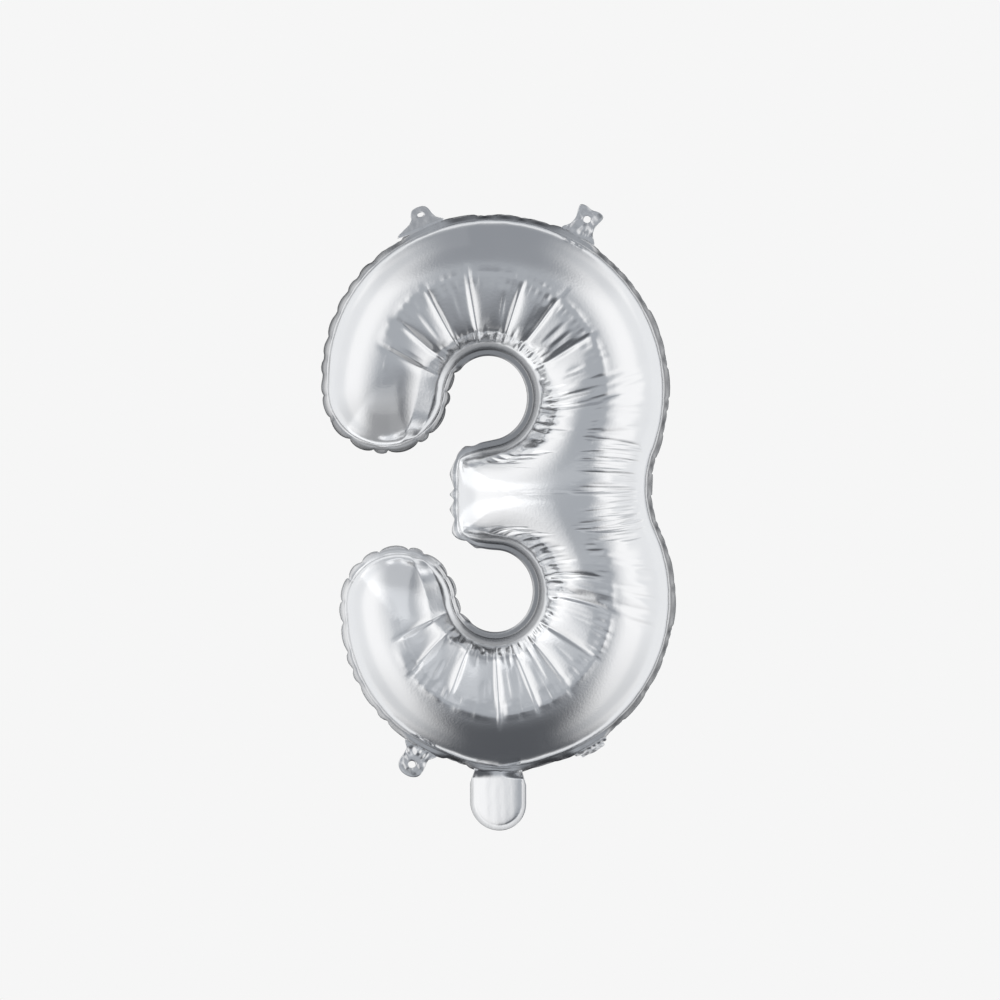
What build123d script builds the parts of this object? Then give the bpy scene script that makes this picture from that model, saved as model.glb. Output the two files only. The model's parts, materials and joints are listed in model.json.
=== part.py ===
from build123d import *
import os
from math import cos, radians, sin

# Foil number balloon, the digit 3, about 35 cm tall and filled with air.
# Frame: +X to the right, +Z up, and the reader looks along +Y, so the front is the -Y side.
# The front and back films meet in the plane y = 0. The origin is the hanging line,
# midway between the two top eyelets.

# ---- film and welds ----
FILM = 0.3             # wall of each film; a stand-in for real film of about 0.05
VALVE_FILM = 0.2       # wall of each valve film
WELD_WIDTH = 4.4       # flat welded border outside the filled tube

# ---- upper bowl: two eccentric circles bound the stroke ----
UPPER_OUTER_CENTRE = (-5.0, -108.4)
UPPER_OUTER_RADIUS = 110.9
UPPER_COUNTER_CENTRE = (-8.1, -112.1)
UPPER_COUNTER_RADIUS = 27.5
UPPER_START = 177.0    # angle at the free end, anticlockwise from +X
UPPER_SPAN = -237.0    # signed, runs over the top and down into the waist

# ---- lower bowl ----
LOWER_OUTER_CENTRE = (2.5, -237.3)
LOWER_OUTER_RADIUS = 107.1
LOWER_COUNTER_CENTRE = (-6.2, -232.9)
LOWER_COUNTER_RADIUS = 25.5
LOWER_START = 186.0
LOWER_SPAN = 234.0
STATIONS = 9           # sections along each bowl

# ---- waist and middle arm ----
WAIST_CENTRE = (53.6, -173.1)
WAIST_RADIUS = 41.7    # to the welded edge
ARM_TIP_X = -32.0
ARM_CENTRE_Z = -176.3
ARM_HALF_HEIGHT = 28.0
ARM_CORNER = 10.0      # corner radius of the arm's flat outline

# ---- filling tail ----
TAIL_CENTRE_X = -1.2
FOLD_Z = -345.2        # the tail folds about this line
FOLD_GAP = 0.8         # from the fold line to the film on each side
TAIL_WIDTH = 34.9
TAIL_LENGTH = 36.8
CHANNEL_WIDTH = 22.0   # between the tail's side welds
CHANNEL_DEPTH = 6.4    # front to back, inside the tail films
CHANNEL_TAPER = 10.0   # below the fold, until the channel is fully open
CHANNEL_SIDE = 0.5     # front to back at the channel's welded sides
FOLD_CROWN = 0.02      # extra front to back at the middle of the channel where it folds flat
NECK_SLOT = 2.0        # front to back, where the valve passes the body's weld
NECK_RISE = 6.5        # height of the neck's thickened weld

# ---- valve ----
VALVE_RISE = 44.0      # how far the valve reaches up inside the body
VALVE_HALF_GAP = 0.15  # from the seam plane to each closed valve film
VALVE_MOUTH = 4.0      # the valve's lower edge, above the tail's tip

# ---- hanging tabs ----
TAB_GAP = 0.5          # from a tab's fold line to the film on each side
TAB_ROOT_WIDTH = 22.0
TAB_END_RADIUS = 7.8
TAB_FLARE = 1.5        # height over which a tab's side turns in from its wide root
EYELET_HEIGHT = 10.8   # above the fold line
EYELET_RADIUS = 2.2
# name: (circle centre, circle radius, place round the circle, fold back from flat)
TABS = {
    "top_right_tab": (UPPER_OUTER_CENTRE, UPPER_OUTER_RADIUS, 61.0, 0.0),
    "top_left_tab": (UPPER_OUTER_CENTRE, UPPER_OUTER_RADIUS, 112.0, 43.0),
    "bottom_left_tab": (LOWER_OUTER_CENTRE, LOWER_OUTER_RADIUS, 241.0, 0.0),
    "bottom_right_tab": (LOWER_OUTER_CENTRE, LOWER_OUTER_RADIUS, 300.3, 75.0),
}

os.makedirs("parts", exist_ok=True)


def on_circle(centre, radius, angle):
    """The point of a circle in the seam plane, as (x, z)."""
    return (centre[0] + radius * cos(radians(angle)), centre[1] + radius * sin(radians(angle)))


def bowl_sections(outer_centre, outer_radius, counter_centre, counter_radius, start, span):
    """Centre, half width and angle of the stroke at each station along a bowl."""
    sections = []
    for step in range(STATIONS + 1):
        angle = start + span * step / STATIONS
        outer = on_circle(outer_centre, outer_radius, angle)
        inner = on_circle(counter_centre, counter_radius, angle)
        middle = ((outer[0] + inner[0]) / 2, (outer[1] + inner[1]) / 2)
        half_width = (Vector(*outer) - Vector(*inner)).length / 2
        sections.append((middle, half_width, angle))
    return sections


UPPER_SECTIONS = bowl_sections(
    UPPER_OUTER_CENTRE, UPPER_OUTER_RADIUS, UPPER_COUNTER_CENTRE, UPPER_COUNTER_RADIUS,
    UPPER_START, UPPER_SPAN)
LOWER_SECTIONS = bowl_sections(
    LOWER_OUTER_CENTRE, LOWER_OUTER_RADIUS, LOWER_COUNTER_CENTRE, LOWER_COUNTER_RADIUS,
    LOWER_START, LOWER_SPAN)


def filled_form(inset):
    """The filled digit as one solid, its skin the given inset inside the welded outline."""
    with BuildPart() as form:
        for sections in (UPPER_SECTIONS, LOWER_SECTIONS):
            for (x, z), half_width, angle in sections:
                across = Plane(origin=(x, 0, z), x_dir=(cos(radians(angle)), 0, sin(radians(angle))),
                               z_dir=(-sin(radians(angle)), 0, cos(radians(angle))))
                with BuildSketch(across):
                    Circle(half_width - inset)
            loft()
            for (x, z), half_width, _ in (sections[0], sections[-1]):
                with Locations((x, 0, z)):
                    Sphere(half_width - inset)
        with Locations((WAIST_CENTRE[0], 0, WAIST_CENTRE[1])):
            Sphere(WAIST_RADIUS - inset)
        arm_end_x = ARM_TIP_X + ARM_HALF_HEIGHT
        with Locations((arm_end_x, 0, ARM_CENTRE_Z)):
            Sphere(ARM_HALF_HEIGHT - inset)
        with BuildSketch(Plane(origin=(arm_end_x, 0, ARM_CENTRE_Z), z_dir=(1, 0, 0))):
            Circle(ARM_HALF_HEIGHT - inset)
        with BuildSketch(Plane(origin=(WAIST_CENTRE[0], 0, WAIST_CENTRE[1]), z_dir=(1, 0, 0))):
            Circle(WAIST_RADIUS - inset)
        loft()
    return form.part


def lens(width, side_depth, middle_depth):
    """A flat-sided lens, the section of the tail's channel."""
    half_width = width / 2
    with BuildSketch() as section:
        with BuildLine():
            ThreePointArc((-half_width, side_depth / 2), (0, middle_depth / 2), (half_width, side_depth / 2))
            Line((half_width, side_depth / 2), (half_width, -side_depth / 2))
            ThreePointArc((half_width, -side_depth / 2), (0, -middle_depth / 2), (-half_width, -side_depth / 2))
            Line((-half_width, -side_depth / 2), (-half_width, side_depth / 2))
        make_face()
    return section.sketch


def channel_form(width, side_depth, middle_depth):
    """The tail's channel as a solid: flat at the fold, then fully open down past the tip."""
    root_z = FOLD_Z - FOLD_GAP
    open_z = root_z - CHANNEL_TAPER
    flat_lens = lens(width, side_depth, side_depth + FOLD_CROWN)
    open_lens = lens(width, side_depth, middle_depth)
    with BuildPart() as form:
        with BuildSketch(Plane(origin=(TAIL_CENTRE_X, 0, root_z))):
            add(flat_lens)
        with BuildSketch(Plane(origin=(TAIL_CENTRE_X, 0, open_z))):
            add(open_lens)
        loft()
        with BuildSketch(Plane(origin=(TAIL_CENTRE_X, 0, open_z))):
            add(open_lens)
        extrude(amount=-TAIL_LENGTH)
    return form.part


def write(part, name):
    """Label one node and write its file."""
    part.label = name
    export_step(part, f"parts/{name}.step")


# ---- front and back panels: a filled tube's skin with a flat welded border ----
outer_form = filled_form(WELD_WIDTH)
inner_form = filled_form(WELD_WIDTH + FILM)

with BuildPart() as skin:
    add(outer_form)
    with BuildSketch(Plane.XZ):
        for centre, radius, counter_centre, counter_radius, start, span, sections in (
            (UPPER_OUTER_CENTRE, UPPER_OUTER_RADIUS, UPPER_COUNTER_CENTRE, UPPER_COUNTER_RADIUS,
             UPPER_START, UPPER_SPAN, UPPER_SECTIONS),
            (LOWER_OUTER_CENTRE, LOWER_OUTER_RADIUS, LOWER_COUNTER_CENTRE, LOWER_COUNTER_RADIUS,
             LOWER_START, LOWER_SPAN, LOWER_SECTIONS),
        ):
            with BuildLine():
                outside = CenterArc(centre, radius, start, span)
                inside = CenterArc(counter_centre, counter_radius, start, span)
                Line(outside @ 0, inside @ 0)
                Line(outside @ 1, inside @ 1)
            make_face()
            for end, half_width, _ in (sections[0], sections[-1]):
                with Locations(end):
                    Circle(half_width)
        with Locations(WAIST_CENTRE):
            Circle(WAIST_RADIUS)
        arm_length = WAIST_CENTRE[0] - ARM_TIP_X
        with Locations((ARM_TIP_X + arm_length / 2, ARM_CENTRE_Z)):
            RectangleRounded(arm_length, 2 * ARM_HALF_HEIGHT, ARM_CORNER)
        with Locations((TAIL_CENTRE_X, FOLD_Z + FOLD_GAP + NECK_RISE / 2)):
            Rectangle(TAIL_WIDTH, NECK_RISE)
    extrude(amount=FILM, both=True)
    with Locations((TAIL_CENTRE_X, 0, FOLD_Z + FOLD_GAP + NECK_RISE / 2)):
        Box(CHANNEL_WIDTH + 2 * FILM, NECK_SLOT + 2 * FILM, NECK_RISE)
    add(inner_form, mode=Mode.SUBTRACT)
    with Locations((TAIL_CENTRE_X, 0, FOLD_Z + FOLD_GAP + NECK_RISE / 2)):
        Box(CHANNEL_WIDTH, NECK_SLOT, NECK_RISE, mode=Mode.SUBTRACT)

for name, side in (("front_panel", Keep.TOP), ("back_panel", Keep.BOTTOM)):
    with BuildPart() as panel:
        add(skin.part)
        split(bisect_by=Plane.XZ, keep=side)
    write(panel.part, name)

# ---- valve: two clear films, hanging from the neck's weld up into the body ----
for name, side in (("valve_front_film", -1), ("valve_back_film", 1)):
    with BuildPart() as valve:
        with Locations((TAIL_CENTRE_X, side * (VALVE_HALF_GAP + VALVE_FILM / 2),
                        FOLD_Z + FOLD_GAP + VALVE_RISE / 2)):
            Box(CHANNEL_WIDTH - 2 * FILM, VALVE_FILM, VALVE_RISE)
    write(valve.part, name)

# ---- tail: two films round an open channel, with the valve's inlet lining it ----
film_outside = channel_form(CHANNEL_WIDTH + 4 * FILM, CHANNEL_SIDE + 2 * FILM, CHANNEL_DEPTH + 2 * FILM)
film_inside = channel_form(CHANNEL_WIDTH, CHANNEL_SIDE, CHANNEL_DEPTH)
lining_inside = channel_form(
    CHANNEL_WIDTH + 4 * FILM, CHANNEL_SIDE - 2 * VALVE_FILM, CHANNEL_DEPTH - 2 * VALVE_FILM)

with BuildPart() as tail_blank:
    with BuildSketch(Plane.XZ):
        flat_length = TAIL_LENGTH - TAIL_WIDTH / 2 - FOLD_GAP
        with Locations((TAIL_CENTRE_X, FOLD_Z - FOLD_GAP - flat_length / 2)):
            Rectangle(TAIL_WIDTH, flat_length)
        with Locations((TAIL_CENTRE_X, FOLD_Z - TAIL_LENGTH + TAIL_WIDTH / 2)):
            Circle(TAIL_WIDTH / 2)
    extrude(amount=CHANNEL_DEPTH, both=True)

with BuildPart() as tail_skin:
    with BuildSketch(Plane.XZ):
        with Locations((TAIL_CENTRE_X, FOLD_Z - FOLD_GAP - TAIL_LENGTH / 2)):
            Rectangle(TAIL_WIDTH, TAIL_LENGTH)
    extrude(amount=FILM, both=True)
    add(film_outside)
    add(film_inside, mode=Mode.SUBTRACT)
    add(tail_blank.part, mode=Mode.INTERSECT)

with BuildPart() as lining:
    add(film_inside)
    add(lining_inside, mode=Mode.SUBTRACT)
    add(tail_blank.part, mode=Mode.INTERSECT)
    split(bisect_by=Plane.XY.offset(FOLD_Z - TAIL_LENGTH + VALVE_MOUTH), keep=Keep.TOP)

for foil_name, lining_name, side in (
    ("tail_front_film", "valve_inlet_front_film", Keep.TOP),
    ("tail_back_film", "valve_inlet_back_film", Keep.BOTTOM),
):
    with BuildPart() as tail_film:
        add(tail_skin.part)
        split(bisect_by=Plane.XZ, keep=side)
    write(tail_film.part, foil_name)
    with BuildPart() as lining_film:
        add(lining.part)
        split(bisect_by=Plane.XZ, keep=side)
    write(lining_film.part, lining_name)

# ---- hanging tabs: two plies each, with an eyelet, folding at the welded border ----
for name, (centre, radius, place, fold_back) in TABS.items():
    root = on_circle(centre, radius + TAB_GAP, place)
    outward = Vector(cos(radians(place)), 0, sin(radians(place)))
    tangent = Vector(sin(radians(place)), 0, -cos(radians(place)))
    facing = Vector(0, -cos(radians(fold_back)), 0) + outward * sin(radians(fold_back))
    folded = Plane(origin=(root[0], 0, root[1]), x_dir=tangent, z_dir=facing)
    for ply, direction in (("front", 1), ("back", -1)):
        with BuildPart() as tab:
            with BuildSketch(folded):
                with BuildLine():
                    half_root = TAB_ROOT_WIDTH / 2
                    Line((-half_root, TAB_GAP), (half_root, TAB_GAP))
                    Bezier((half_root, TAB_GAP), (TAB_END_RADIUS, TAB_GAP + TAB_FLARE),
                           (TAB_END_RADIUS, EYELET_HEIGHT))
                    ThreePointArc((TAB_END_RADIUS, EYELET_HEIGHT), (0, EYELET_HEIGHT + TAB_END_RADIUS),
                                  (-TAB_END_RADIUS, EYELET_HEIGHT))
                    Bezier((-TAB_END_RADIUS, EYELET_HEIGHT), (-TAB_END_RADIUS, TAB_GAP + TAB_FLARE),
                           (-half_root, TAB_GAP))
                make_face()
                with Locations((0, EYELET_HEIGHT)):
                    Circle(EYELET_RADIUS, mode=Mode.SUBTRACT)
            extrude(amount=direction * FILM)
        write(tab.part, f"{name}_{ply}_film")
    eyelet = folded.from_local_coords((0, EYELET_HEIGHT, 0))
    print(name, "fold line", root, "along", tuple(tangent), "eyelet", tuple(eyelet), "facing", tuple(facing))
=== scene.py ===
# %% [markdown]
# # A silver foil digit, blown up with air
#
# The real thing is two sheets of metallised plastic film, welded to each other along their edges and blown
# up through a tail. Nothing in it is solid: it looks the way it does because a flat sheet can't become a
# round tube without crumpling. This lesson makes the two films as numpy surfaces, with their creases as
# geometry.
#
# The CAD model holds the sizes and the joints, so it is loaded first and never moved.

# %% Load the CAD frame
import bpy
import json
import numpy as np
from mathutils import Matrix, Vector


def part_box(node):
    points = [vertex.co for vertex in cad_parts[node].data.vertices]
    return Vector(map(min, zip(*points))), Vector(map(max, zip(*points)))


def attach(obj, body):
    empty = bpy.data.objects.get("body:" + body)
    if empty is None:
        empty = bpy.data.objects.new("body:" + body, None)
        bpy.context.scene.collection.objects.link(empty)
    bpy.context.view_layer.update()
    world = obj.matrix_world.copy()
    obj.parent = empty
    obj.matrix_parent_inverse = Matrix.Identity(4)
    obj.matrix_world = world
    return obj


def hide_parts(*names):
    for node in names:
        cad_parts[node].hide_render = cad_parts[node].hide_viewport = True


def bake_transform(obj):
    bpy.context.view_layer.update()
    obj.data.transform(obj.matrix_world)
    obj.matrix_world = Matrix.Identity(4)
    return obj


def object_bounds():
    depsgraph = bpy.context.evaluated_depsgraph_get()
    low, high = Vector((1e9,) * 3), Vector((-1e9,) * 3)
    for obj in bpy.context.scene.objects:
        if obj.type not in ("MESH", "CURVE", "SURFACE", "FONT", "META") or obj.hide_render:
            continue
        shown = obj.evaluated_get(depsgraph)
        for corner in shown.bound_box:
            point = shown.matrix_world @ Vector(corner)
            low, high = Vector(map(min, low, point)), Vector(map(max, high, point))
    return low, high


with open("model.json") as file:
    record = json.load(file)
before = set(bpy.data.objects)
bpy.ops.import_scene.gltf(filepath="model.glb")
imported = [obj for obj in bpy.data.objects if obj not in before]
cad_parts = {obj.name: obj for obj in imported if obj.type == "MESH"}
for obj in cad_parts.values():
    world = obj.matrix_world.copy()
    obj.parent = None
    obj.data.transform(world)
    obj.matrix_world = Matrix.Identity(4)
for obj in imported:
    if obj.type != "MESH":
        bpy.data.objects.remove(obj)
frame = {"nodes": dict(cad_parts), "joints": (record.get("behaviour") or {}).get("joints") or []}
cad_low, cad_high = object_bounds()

MM = 0.001
print("CAD box, mm:", [round(v / MM, 1) for v in (*cad_low, *cad_high)])

# %% [markdown]
# ## Camera
#
# A product picture of a balloon is taken straight on with a long lens, so that the digit isn't distorted.
# The camera's distance follows from the width that the picture should take in, so the two can't disagree.

# %% Place the camera
VIEW_WIDTH = 622.8 * MM          # what the picture takes in at the plane of the seam
VIEW_HEIGHT = -176.2 * MM        # the level that the lens is at
LENS, SENSOR = 100.0, 36.0

camera = bpy.data.objects.new("camera", bpy.data.cameras.new("camera"))
camera.data.lens = LENS
camera.data.sensor_width = SENSOR
camera.location = (0.0, -VIEW_WIDTH * LENS / SENSOR, VIEW_HEIGHT)
camera.rotation_euler = (np.pi / 2, 0.0, 0.0)
bpy.context.scene.collection.objects.link(camera)
bpy.context.scene.camera = camera
print("camera stands", round(-camera.location.y, 3), "m in front")

# %% [markdown]
# ## Light
#
# A mirror has no colour of its own: it shows the room. So the light is planned as a room, not as lamps.
# White panels stand to the left and right, the wall behind the camera is a cool grey, the ceiling is
# darker, and the floor under the balloon is darker still, which is what gives a foil balloon its deep lower
# edge. Behind the balloon the room is pale, with a cool grey wall straight ahead, so that the back film
# isn't all white. The room is painted on the world by direction. The camera itself sees a plain pale wall.

# %% Paint the room on the world
PALE = (0.922, 0.922, 0.922, 1.0)
world = bpy.data.worlds.new("studio")
bpy.context.scene.world = world
world.use_nodes = True
nodes, links = world.node_tree.nodes, world.node_tree.links
nodes.clear()


def math_node(tree, operation, a, b=None, c=None):
    """One Math node. a, b and c are numbers or sockets."""
    node = tree.nodes.new("ShaderNodeMath")
    node.operation = operation
    for socket, value in zip(node.inputs, (a, b, c)):
        if isinstance(value, bpy.types.NodeSocket):
            tree.links.new(value, socket)
        elif value is not None:
            socket.default_value = value
    return node.outputs[0]


def soft_step(tree, value, low, high):
    """0 below low, 1 above high, and smooth between them."""
    node = tree.nodes.new("ShaderNodeMapRange")
    node.interpolation_type = "SMOOTHSTEP"
    tree.links.new(value, node.inputs["Value"])
    node.inputs["From Min"].default_value = low
    node.inputs["From Max"].default_value = high
    return node.outputs["Result"]


def mix_colour(tree, factor, a, b):
    """A colour that is a where factor is 0 and b where it is 1."""
    node = tree.nodes.new("ShaderNodeMix")
    node.data_type = "RGBA"
    for socket, value in ((node.inputs["Factor"], factor), (node.inputs["A"], a), (node.inputs["B"], b)):
        if isinstance(value, bpy.types.NodeSocket):
            tree.links.new(value, socket)
        else:
            socket.default_value = value
    return node.outputs["Result"]


tree = world.node_tree
heading = nodes.new("ShaderNodeTexCoord").outputs["Generated"]
split = nodes.new("ShaderNodeSeparateXYZ")
links.new(heading, split.inputs[0])
east, north, up = split.outputs
sideways = math_node(tree, "ABSOLUTE", east)
level = math_node(tree, "SQRT", math_node(tree, "SUBTRACT", 1.0, math_node(tree, "MULTIPLY", up, up)))
turn = math_node(tree, "DIVIDE", sideways, math_node(tree, "MAXIMUM", level, 0.001))

FRONT_GREY = (0.405, 0.425, 0.455, 1.0)
CEILING = (0.29, 0.305, 0.33, 1.0)
UNDER = (0.095, 0.10, 0.11, 1.0)
PANEL = (1.0, 1.0, 1.005, 1.0)
PAST_PANEL = (0.83, 0.84, 0.855, 1.0)
BEHIND = (0.86, 0.87, 0.885, 1.0)
FAR_WALL = (0.46, 0.48, 0.51, 1.0)

down = math_node(tree, "MULTIPLY", up, -1.0)
room = mix_colour(tree, soft_step(tree, turn, 0.28, 0.80), FRONT_GREY, PANEL)
room = mix_colour(tree, soft_step(tree, turn, 0.93, 0.99), room, PAST_PANEL)
aside = soft_step(tree, sideways, 0.28, 0.70)
ahead = math_node(tree, "SUBTRACT", 1.0, math_node(tree, "MULTIPLY", aside, 0.75))
overhead = math_node(tree, "MULTIPLY", soft_step(tree, up, 0.55, 0.75), ahead)
underneath = math_node(tree, "MULTIPLY", soft_step(tree, down, 0.15, 0.80), ahead)
room = mix_colour(tree, overhead, room, CEILING)
room = mix_colour(tree, underneath, room, UNDER)
steep = soft_step(tree, math_node(tree, "ABSOLUTE", up), 0.30, 0.80)
past_side = math_node(tree, "SUBTRACT", north, math_node(tree, "MULTIPLY", steep, 0.45))
room = mix_colour(tree, soft_step(tree, past_side, 0.05, 0.30), room, BEHIND)
straight_on = math_node(tree, "SUBTRACT", 1.0, soft_step(tree, turn, 0.25, 0.62))
far = math_node(tree, "MULTIPLY", soft_step(tree, north, 0.72, 0.90), straight_on)
room = mix_colour(tree, far, room, FAR_WALL)
seen = nodes.new("ShaderNodeLightPath").outputs["Is Camera Ray"]
background = nodes.new("ShaderNodeBackground")
links.new(mix_colour(tree, seen, room, PALE), background.inputs["Color"])
links.new(background.outputs[0], nodes.new("ShaderNodeOutputWorld").inputs["Surface"])
bpy.context.scene.view_settings.view_transform = "Standard"
print("the room has", len(nodes), "nodes")

# %% [markdown]
# White cards hang round the balloon. Two pairs face each other above and below the arm, one stands before
# the gap between the free ends, and one lies over the top left tab. Such a card is how a mirror's dark side
# is opened. Each is a stack of lamps, one inside the other, because a card's hard edge would draw a line on
# the film.

# %% Hang the white cards
CARD_STACK = 8
CARD_LEFT = 0.6                  # keeps the smallest lamp from being a mere point
CARD_POWER = 0.36 * np.pi        # watts for each square metre of a card of power 1
FACES_DOWN, FACES_BACK, FACES_UP = 0, 90, 180      # degrees about the x axis


def card(name, centre, width, length, facing, power):
    """A white card in metres, as CARD_STACK area lights with smaller and smaller sides.
    The camera doesn't see it."""
    for layer in range(CARD_STACK):
        share = 1 - layer / (CARD_STACK + CARD_LEFT)
        lamp = bpy.data.lights.new(f"{name}_{layer}", "AREA")
        lamp.shape = "RECTANGLE"
        lamp.size, lamp.size_y = width * share, length * share
        lamp.energy = CARD_POWER * power * lamp.size * lamp.size_y / CARD_STACK
        obj = bpy.data.objects.new(lamp.name, lamp)
        obj.location = centre
        obj.rotation_euler = (np.radians(facing), 0.0, 0.0)
        obj.visible_camera = False
        bpy.context.scene.collection.objects.link(obj)


card("bay_top", (-0.110, -0.125, -0.150), 0.16, 0.35, FACES_DOWN, 5.2)
card("bay_bottom", (-0.100, -0.035, -0.200), 0.14, 0.37, FACES_UP, 5.0)
card("bay_front", (-0.08, -0.15, -0.230), 0.15, 0.08, FACES_BACK, 1.8)
card("front_top", (0.0, -0.405, -0.140), 0.24, 0.57, FACES_DOWN, 1.8)
card("front_bottom", (0.005, -0.08, -0.215), 0.13, 0.10, FACES_UP, 0.75)
card("over_left", (-0.07, -0.01, 0.05), 0.08, 0.09, FACES_DOWN, 0.6)

# %% [markdown]
# ## Floor
#
# The balloon hangs in the air from the line through its top eyelets, so the floor is well below it.

# %% Lay the floor
FLOOR_DROP = 0.6
FLOOR_RADIUS, FLOOR_SIDES = 0.9, 96


def mesh_object(name, points, faces):
    """An object at the origin whose points are given in millimetres."""
    mesh = bpy.data.meshes.new(name)
    mesh.from_pydata((np.asarray(points, float) * MM).tolist(), [], np.asarray(faces).tolist())
    mesh.update()
    obj = bpy.data.objects.new(name, mesh)
    bpy.context.scene.collection.objects.link(obj)
    return obj


round_turn = np.linspace(0, 2 * np.pi, FLOOR_SIDES, endpoint=False)
floor_rim = np.stack([np.cos(round_turn), np.sin(round_turn), 0 * round_turn], -1) * FLOOR_RADIUS
floor_rim[:, 2] = cad_low[2] - FLOOR_DROP
floor = mesh_object("floor", floor_rim / MM, [list(range(FLOOR_SIDES))])
floor_finish = bpy.data.materials.new("pale_floor")
floor_finish.use_nodes = True
floor_shader = floor_finish.node_tree.nodes["Principled BSDF"]
floor_shader.inputs["Base Color"].default_value = PALE
floor_shader.inputs["Roughness"].default_value = 0.8
floor.data.materials.append(floor_finish)
floor.visible_glossy = False          # the film under the tail shows the dark of the room, not the floor
print("floor is", FLOOR_DROP, "m under the tail")

# %% [markdown]
# ## The outline of the digit
#
# The digit is two bowls, each an arc round a counter, the hole in a letter. They meet in a waist on the
# right and in an arm that points left between the counters. The outer edge is three arcs that touch each
# other smoothly, and the inner edge is two ellipses joined by the rounded end of the arm.

# %% Draw the outer and the inner edge
WELD = 4.4                                         # width of the welded border. Lengths are in mm
UPPER, UPPER_RADIUS = np.array([-5.0, -108.4]), 110.9
LOWER, LOWER_RADIUS = np.array([2.5, -237.3]), 107.1
UPPER_HOLE, UPPER_HOLE_SIZE = np.array([-7.2, -112.7]), (24.0, 26.2)
LOWER_HOLE, LOWER_HOLE_SIZE = np.array([-3.1, -232.9]), (23.5, 25.5)
WAIST, WAIST_RADIUS = np.array([157.3, -168.6]), 62.3
ARM_END = [(-15, -141), (-26, -144.5), (-30.5, -150), (-31, -163), (-31, -185), (-30, -197), (-25, -203),
           (-13, -206.6)]
TUCK = 4.5                                         # how far the free ends are drawn in
BEAK, BEAK_AT, BEAK_HALF = 2.6, -91.5, 17          # the blunt point above the tail, in mm and degrees
UPPER_FROM, UPPER_SWEEP = 177, 197.35              # degrees: where the upper bowl starts, how far it turns
LOWER_FROM, LOWER_SWEEP = 23.9, 197.9
CAP_ROWS, BOWL_ROWS, WAIST_ROWS = 18, 190, 150     # grid rows in a free end, in a bowl and in the waist


def arc(centre, size, degrees):
    """Points on an ellipse: centre + size * (cos, sin) of each angle."""
    angle = np.radians(np.asarray(degrees, float))
    return centre + np.stack([size[0] * np.cos(angle), size[1] * np.sin(angle)], -1)


def along(path):
    """Distance from the path's start to each of its points."""
    return np.r_[0.0, np.cumsum(np.linalg.norm(np.diff(path, axis=0), axis=1))]


def evenly(path, count):
    """The same path with count points at equal distances."""
    distance = along(path)
    at = np.linspace(0, distance[-1], count)
    return np.stack([np.interp(at, distance, column) for column in path.T], -1)


def rounded(points, rounds=4):
    """Corner cutting: each round puts two points at 1/4 and 3/4 of every run."""
    path = np.array(points, float)
    for _ in range(rounds):
        cut = np.empty((2 * len(path) - 2, 2))
        cut[0::2] = 0.75 * path[:-1] + 0.25 * path[1:]
        cut[1::2] = 0.25 * path[:-1] + 0.75 * path[1:]
        path = np.vstack([path[:1], cut, path[-1:]])
    return path


step = np.linspace(0, 1, BOWL_ROWS)
share = step * (1 + 0.25 * (1 - step))             # rows stand closer together towards the waist
tuck = TUCK * np.clip(1 - share / 0.22, 0, 1) ** 1.5
upper_angle = UPPER_FROM - UPPER_SWEEP * share
lower_angle = LOWER_FROM - LOWER_SWEEP * (1 - share[::-1])
beak = BEAK * np.clip(1 - np.abs(lower_angle - BEAK_AT) / BEAK_HALF, 0, 1)
outer_edge = np.vstack([
    UPPER + (UPPER_RADIUS - tuck)[:, None] * arc(0, (1, 1), upper_angle),
    arc(WAIST, (WAIST_RADIUS, WAIST_RADIUS), np.linspace(159.65, 203.9, WAIST_ROWS))[1:],
    (LOWER + (LOWER_RADIUS - tuck[::-1] + beak)[:, None] * arc(0, (1, 1), lower_angle))[1:],
])
upper_hole_angle = np.interp(share, [0, 0.75, 1], [177, 29, -38])
lower_hole_angle = np.interp(1 - share[::-1], [0, 0.25, 1], [40, -24, -174])
arm_start = arc(UPPER_HOLE, UPPER_HOLE_SIZE, np.linspace(-38, -78, 30))
arm_finish = arc(LOWER_HOLE, LOWER_HOLE_SIZE, np.linspace(83, 40, 30))
arm_tip = rounded([arm_start[-1], *ARM_END, arm_finish[0]])
inner_edge = np.vstack([
    arc(UPPER_HOLE, UPPER_HOLE_SIZE, upper_hole_angle),
    evenly(np.vstack([arm_start, arm_tip[1:-1], arm_finish]), WAIST_ROWS)[1:],
    arc(LOWER_HOLE, LOWER_HOLE_SIZE, lower_hole_angle)[1:],
])
print("outer edge", round(along(outer_edge)[-1]), "mm, inner edge", round(along(inner_edge)[-1]), "mm")

# %% [markdown]
# ## Rows across the stroke
#
# Creases in a foil balloon run across the stroke, from one seam to the other. If the rows of the grid run
# that way too, a crease is only a few rows that move together. Each row is a curve that leaves both seams
# at right angles, and each round end is closed by rows that bend until the last one lies on the seam
# itself.

# %% Lay the rows
SAMPLES = 160
HANDLE = 0.36                                      # a row leaves the seam straight for this share of it,
OUTER_MORE, INNER_STRAIGHT = 0.09, 15              # in the arm for so much more, and inside for 15 mm
END_OPEN = 38                                      # degrees that a free end is short of a half circle


def unit(vectors):
    """The same directions with length 1."""
    return vectors / (np.linalg.norm(vectors, axis=-1, keepdims=True) + 1e-12)


def into_film(path, side, rounds=6):
    """The direction at right angles to the path, evened out along it. side is +1 for its left, -1 for its
    right."""
    run = unit(np.gradient(path, axis=0))
    normal = np.stack([-run[:, 1], run[:, 0]], -1) * side
    for _ in range(rounds):
        normal[1:-1] = unit(normal[:-2] + 2 * normal[1:-1] + normal[2:])
    return normal


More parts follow.
